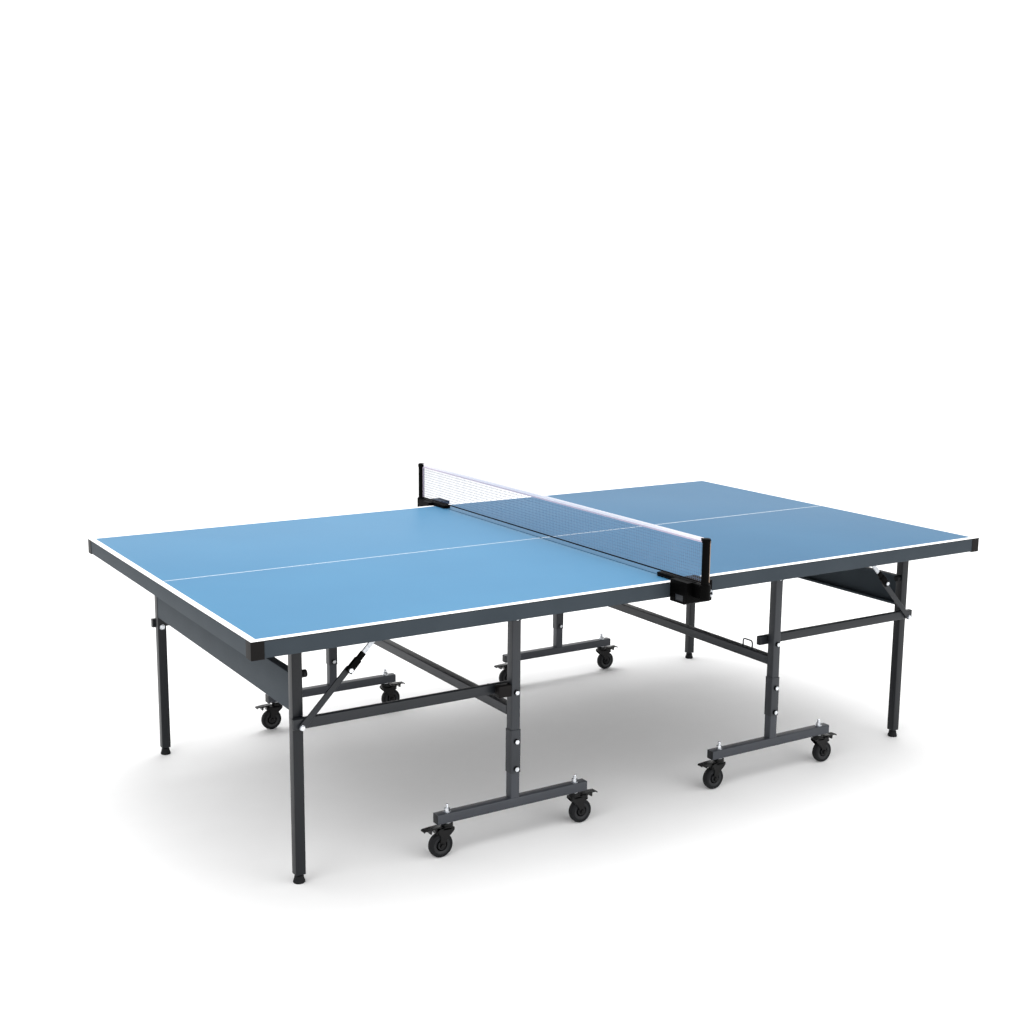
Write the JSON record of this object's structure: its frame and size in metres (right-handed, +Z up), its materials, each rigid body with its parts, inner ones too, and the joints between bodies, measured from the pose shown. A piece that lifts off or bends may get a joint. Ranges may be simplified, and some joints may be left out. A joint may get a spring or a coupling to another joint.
{
  "type": "ping pong table",
  "caption": "Folding indoor ping pong table on wheeled bases: blue top with white lines, slate steel aprons, folding stays, braked casters and a clamp-on net.",
  "frame": {"origin": "on the floor under the centre of the table top", "axes": "+X along the table's length towards the right half, +Y across it towards the far side, +Z up"},
  "size_m": [2.74, 1.804, 0.9125],
  "materials": {
    "blue_top": "satin paint with white lines",
    "slate_steel": "satin powder coat",
    "charcoal_steel": "satin powder coat",
    "black_plastic": "matte moulded",
    "black_rubber": "matte",
    "zinc_steel": "bright zinc",
    "net_mesh": "woven mesh with a white tape"
  },
  "bodies": {
    "base_left": {"inner_frame_left": "charcoal_steel", "leg_sleeves_left": "charcoal_steel", "caster_beams_left": "charcoal_steel", "base_bolts_left": "zinc_steel"},
    "top_left": {"playing_board_left": "blue_top", "apron_frame_left": "slate_steel", "corner_caps_left": "black_plastic", "top_brackets_left": "zinc_steel"},
    "rails_left": {"side_rails_left": "charcoal_steel"},
    "leg_frame_left": {"outer_legs_left": "charcoal_steel", "end_panel_left": "slate_steel", "leg_buffers_left": "black_rubber"},
    "upper_stays_left": {"upper_stays_left": "black_plastic"},
    "lower_stays_left": {"lower_stays_left": "charcoal_steel"},
    "foot_left_near": {"levelling_foot_left_near": "black_rubber"},
    "fork_left_near_outer": {"caster_fork_left_near_outer": "charcoal_steel"},
    "wheel_left_near_outer": {"caster_wheel_left_near_outer": "black_rubber"},
    "pedal_left_near_outer": {"brake_pedal_left_near_outer": "black_plastic"},
    "fork_left_near_inner": {"caster_fork_left_near_inner": "charcoal_steel"},
    "wheel_left_near_inner": {"caster_wheel_left_near_inner": "black_rubber"},
    "pedal_left_near_inner": {"brake_pedal_left_near_inner": "black_plastic"},
    "foot_left_far": {"levelling_foot_left_far": "black_rubber"},
    "fork_left_far_outer": {"caster_fork_left_far_outer": "charcoal_steel"},
    "wheel_left_far_outer": {"caster_wheel_left_far_outer": "black_rubber"},
    "pedal_left_far_outer": {"brake_pedal_left_far_outer": "black_plastic"},
    "fork_left_far_inner": {"caster_fork_left_far_inner": "charcoal_steel"},
    "wheel_left_far_inner": {"caster_wheel_left_far_inner": "black_rubber"},
    "pedal_left_far_inner": {"brake_pedal_left_far_inner": "black_plastic"},
    "base_right": {"inner_frame_right": "charcoal_steel", "leg_sleeves_right": "charcoal_steel", "caster_beams_right": "charcoal_steel", "base_bolts_right": "zinc_steel"},
    "top_right": {"playing_board_right": "blue_top", "apron_frame_right": "slate_steel", "corner_caps_right": "black_plastic", "top_brackets_right": "zinc_steel"},
    "rails_right": {"side_rails_right": "charcoal_steel"},
    "leg_frame_right": {"outer_legs_right": "charcoal_steel", "end_panel_right": "slate_steel", "leg_buffers_right": "black_rubber"},
    "upper_stays_right": {"upper_stays_right": "black_plastic"},
    "lower_stays_right": {"lower_stays_right": "charcoal_steel"},
    "foot_right_near": {"levelling_foot_right_near": "black_rubber"},
    "fork_right_near_outer": {"caster_fork_right_near_outer": "charcoal_steel"},
    "wheel_right_near_outer": {"caster_wheel_right_near_outer": "black_rubber"},
    "pedal_right_near_outer": {"brake_pedal_right_near_outer": "black_plastic"},
    "fork_right_near_inner": {"caster_fork_right_near_inner": "charcoal_steel"},
    "wheel_right_near_inner": {"caster_wheel_right_near_inner": "black_rubber"},
    "pedal_right_near_inner": {"brake_pedal_right_near_inner": "black_plastic"},
    "foot_right_far": {"levelling_foot_right_far": "black_rubber"},
    "fork_right_far_outer": {"caster_fork_right_far_outer": "charcoal_steel"},
    "wheel_right_far_outer": {"caster_wheel_right_far_outer": "black_rubber"},
    "pedal_right_far_outer": {"brake_pedal_right_far_outer": "black_plastic"},
    "fork_right_far_inner": {"caster_fork_right_far_inner": "charcoal_steel"},
    "wheel_right_far_inner": {"caster_wheel_right_far_inner": "black_rubber"},
    "pedal_right_far_inner": {"brake_pedal_right_far_inner": "black_plastic"},
    "net_set": {"net_brackets": "black_plastic", "net": "net_mesh"},
    "screw_near": {"clamp_screw_near": "zinc_steel"},
    "screw_far": {"clamp_screw_far": "zinc_steel"}
  },
  "joints": [
    {"name": "halves_roll_apart", "type": "slide", "parent": "base_left", "child": "base_right", "axis": [1, 0, 0], "range_m": [0, 0.6]},
    {"name": "top_fold_left", "type": "hinge", "parent": "base_left", "child": "top_left", "pos_m": [-0.515, 0, 0.69], "axis": [0, 1, 0], "range_deg": [0, 90]},
    {"name": "rail_swing_left", "type": "hinge", "parent": "base_left", "child": "rails_left", "pos_m": [-0.515, 0, 0.462], "axis": [0, 1, 0], "range_deg": [0, 90]},
    {"name": "leg_fold_left", "type": "hinge", "parent": "top_left", "child": "leg_frame_left", "pos_m": [-1.18, 0, 0.69], "axis": [0, 1, 0], "range_deg": [-90, 0]},
    {"name": "upper_stay_fold_left", "type": "hinge", "parent": "top_left", "child": "upper_stays_left", "pos_m": [-0.924, 0, 0.728], "axis": [0, 1, 0], "range_deg": [-133, 0]},
    {"name": "lower_stay_fold_left", "type": "hinge", "parent": "rails_left", "child": "lower_stays_left", "pos_m": [-1.18, 0, 0.462], "axis": [0, 1, 0], "range_deg": [0, 37]},
    {"name": "foot_screw_left_near", "type": "slide", "parent": "leg_frame_left", "child": "foot_left_near", "axis": [0, 0, 1], "range_m": [-0.012, 0]},
    {"name": "caster_swivel_left_near_outer", "type": "hinge", "parent": "base_left", "child": "fork_left_near_outer", "pos_m": [-0.74, -0.645, 0.1], "axis": [0, 0, 1], "continuous": true},
    {"name": "wheel_spin_left_near_outer", "type": "hinge", "parent": "fork_left_near_outer", "child": "wheel_left_near_outer", "pos_m": [-0.762, -0.645, 0.0375], "axis": [0, 1, 0], "continuous": true},
    {"name": "pedal_press_left_near_outer", "type": "hinge", "parent": "fork_left_near_outer", "child": "pedal_left_near_outer", "pos_m": [-0.776, -0.645, 0.078], "axis": [0, -1, 0], "range_deg": [0, 10]},
    {"name": "caster_swivel_left_near_inner", "type": "hinge", "parent": "base_left", "child": "fork_left_near_inner", "pos_m": [-0.29, -0.645, 0.1], "axis": [0, 0, 1], "continuous": true},
    {"name": "wheel_spin_left_near_inner", "type": "hinge", "parent": "fork_left_near_inner", "child": "wheel_left_near_inner", "pos_m": [-0.268, -0.645, 0.0375], "axis": [0, 1, 0], "continuous": true},
    {"name": "pedal_press_left_near_inner", "type": "hinge", "parent": "fork_left_near_inner", "child": "pedal_left_near_inner", "pos_m": [-0.254, -0.645, 0.078], "axis": [0, 1, 0], "range_deg": [0, 10]},
    {"name": "foot_screw_left_far", "type": "slide", "parent": "leg_frame_left", "child": "foot_left_far", "axis": [0, 0, 1], "range_m": [-0.012, 0]},
    {"name": "caster_swivel_left_far_outer", "type": "hinge", "parent": "base_left", "child": "fork_left_far_outer", "pos_m": [-0.74, 0.645, 0.1], "axis": [0, 0, 1], "continuous": true},
    {"name": "wheel_spin_left_far_outer", "type": "hinge", "parent": "fork_left_far_outer", "child": "wheel_left_far_outer", "pos_m": [-0.762, 0.645, 0.0375], "axis": [0, 1, 0], "continuous": true},
    {"name": "pedal_press_left_far_outer", "type": "hinge", "parent": "fork_left_far_outer", "child": "pedal_left_far_outer", "pos_m": [-0.776, 0.645, 0.078], "axis": [0, -1, 0], "range_deg": [0, 10]},
    {"name": "caster_swivel_left_far_inner", "type": "hinge", "parent": "base_left", "child": "fork_left_far_inner", "pos_m": [-0.29, 0.645, 0.1], "axis": [0, 0, 1], "continuous": true},
    {"name": "wheel_spin_left_far_inner", "type": "hinge", "parent": "fork_left_far_inner", "child": "wheel_left_far_inner", "pos_m": [-0.268, 0.645, 0.0375], "axis": [0, 1, 0], "continuous": true},
    {"name": "pedal_press_left_far_inner", "type": "hinge", "parent": "fork_left_far_inner", "child": "pedal_left_far_inner", "pos_m": [-0.254, 0.645, 0.078], "axis": [0, 1, 0], "range_deg": [0, 10]},
    {"name": "top_fold_right", "type": "hinge", "parent": "base_right", "child": "top_right", "pos_m": [0.515, 0, 0.69], "axis": [0, -1, 0], "range_deg": [0, 90]},
    {"name": "rail_swing_right", "type": "hinge", "parent": "base_right", "child": "rails_right", "pos_m": [0.515, 0, 0.462], "axis": [0, -1, 0], "range_deg": [0, 90]},
    {"name": "leg_fold_right", "type": "hinge", "parent": "top_right", "child": "leg_frame_right", "pos_m": [1.18, 0, 0.69], "axis": [0, -1, 0], "range_deg": [-90, 0]},
    {"name": "upper_stay_fold_right", "type": "hinge", "parent": "top_right", "child": "upper_stays_right", "pos_m": [0.924, 0, 0.728], "axis": [0, -1, 0], "range_deg": [-133, 0]},
    {"name": "lower_stay_fold_right", "type": "hinge", "parent": "rails_right", "child": "lower_stays_right", "pos_m": [1.18, 0, 0.462], "axis": [0, -1, 0], "range_deg": [0, 37]},
    {"name": "foot_screw_right_near", "type": "slide", "parent": "leg_frame_right", "child": "foot_right_near", "axis": [0, 0, 1], "range_m": [-0.012, 0]},
    {"name": "caster_swivel_right_near_outer", "type": "hinge", "parent": "base_right", "child": "fork_right_near_outer", "pos_m": [0.74, -0.645, 0.1], "axis": [0, 0, 1], "continuous": true},
    {"name": "wheel_spin_right_near_outer", "type": "hinge", "parent": "fork_right_near_outer", "child": "wheel_right_near_outer", "pos_m": [0.762, -0.645, 0.0375], "axis": [0, 1, 0], "continuous": true},
    {"name": "pedal_press_right_near_outer", "type": "hinge", "parent": "fork_right_near_outer", "child": "pedal_right_near_outer", "pos_m": [0.776, -0.645, 0.078], "axis": [0, 1, 0], "range_deg": [0, 10]},
    {"name": "caster_swivel_right_near_inner", "type": "hinge", "parent": "base_right", "child": "fork_right_near_inner", "pos_m": [0.29, -0.645, 0.1], "axis": [0, 0, 1], "continuous": true},
    {"name": "wheel_spin_right_near_inner", "type": "hinge", "parent": "fork_right_near_inner", "child": "wheel_right_near_inner", "pos_m": [0.268, -0.645, 0.0375], "axis": [0, 1, 0], "continuous": true},
    {"name": "pedal_press_right_near_inner", "type": "hinge", "parent": "fork_right_near_inner", "child": "pedal_right_near_inner", "pos_m": [0.254, -0.645, 0.078], "axis": [0, -1, 0], "range_deg": [0, 10]},
    {"name": "foot_screw_right_far", "type": "slide", "parent": "leg_frame_right", "child": "foot_right_far", "axis": [0, 0, 1], "range_m": [-0.012, 0]},
    {"name": "caster_swivel_right_far_outer", "type": "hinge", "parent": "base_right", "child": "fork_right_far_outer", "pos_m": [0.74, 0.645, 0.1], "axis": [0, 0, 1], "continuous": true},
    {"name": "wheel_spin_right_far_outer", "type": "hinge", "parent": "fork_right_far_outer", "child": "wheel_right_far_outer", "pos_m": [0.762, 0.645, 0.0375], "axis": [0, 1, 0], "continuous": true},
    {"name": "pedal_press_right_far_outer", "type": "hinge", "parent": "fork_right_far_outer", "child": "pedal_right_far_outer", "pos_m": [0.776, 0.645, 0.078], "axis": [0, 1, 0], "range_deg": [0, 10]},
    {"name": "caster_swivel_right_far_inner", "type": "hinge", "parent": "base_right", "child": "fork_right_far_inner", "pos_m": [0.29, 0.645, 0.1], "axis": [0, 0, 1], "continuous": true},
    {"name": "wheel_spin_right_far_inner", "type": "hinge", "parent": "fork_right_far_inner", "child": "wheel_right_far_inner", "pos_m": [0.268, 0.645, 0.0375], "axis": [0, 1, 0], "continuous": true},
    {"name": "pedal_press_right_far_inner", "type": "hinge", "parent": "fork_right_far_inner", "child": "pedal_right_far_inner", "pos_m": [0.254, 0.645, 0.078], "axis": [0, -1, 0], "range_deg": [0, 10]},
    {"name": "net_lift", "type": "slide", "parent": "base_left", "child": "net_set", "axis": [0, 0, 1], "range_m": [0, 0.25]},
    {"name": "clamp_turn_near", "type": "hinge", "parent": "net_set", "child": "screw_near", "pos_m": [0.048, -0.85, 0.735], "axis": [0, 1, 0], "continuous": true},
    {"name": "clamp_turn_far", "type": "hinge", "parent": "net_set", "child": "screw_far", "pos_m": [0.048, 0.85, 0.735], "axis": [0, 1, 0], "continuous": true}
  ],
  "couplings": [
    {"joint": "rail_swing_left", "follows": "top_fold_left", "ratio": 1},
    {"joint": "leg_fold_left", "follows": "top_fold_left", "ratio": -1},
    {"joint": "upper_stay_fold_left", "follows": "top_fold_left", "ratio": -1.472},
    {"joint": "lower_stay_fold_left", "follows": "top_fold_left", "ratio": 0.40412},
    {"joint": "rail_swing_right", "follows": "top_fold_right", "ratio": 1},
    {"joint": "leg_fold_right", "follows": "top_fold_right", "ratio": -1},
    {"joint": "upper_stay_fold_right", "follows": "top_fold_right", "ratio": -1.472},
    {"joint": "lower_stay_fold_right", "follows": "top_fold_right", "ratio": 0.40412}
  ]
}
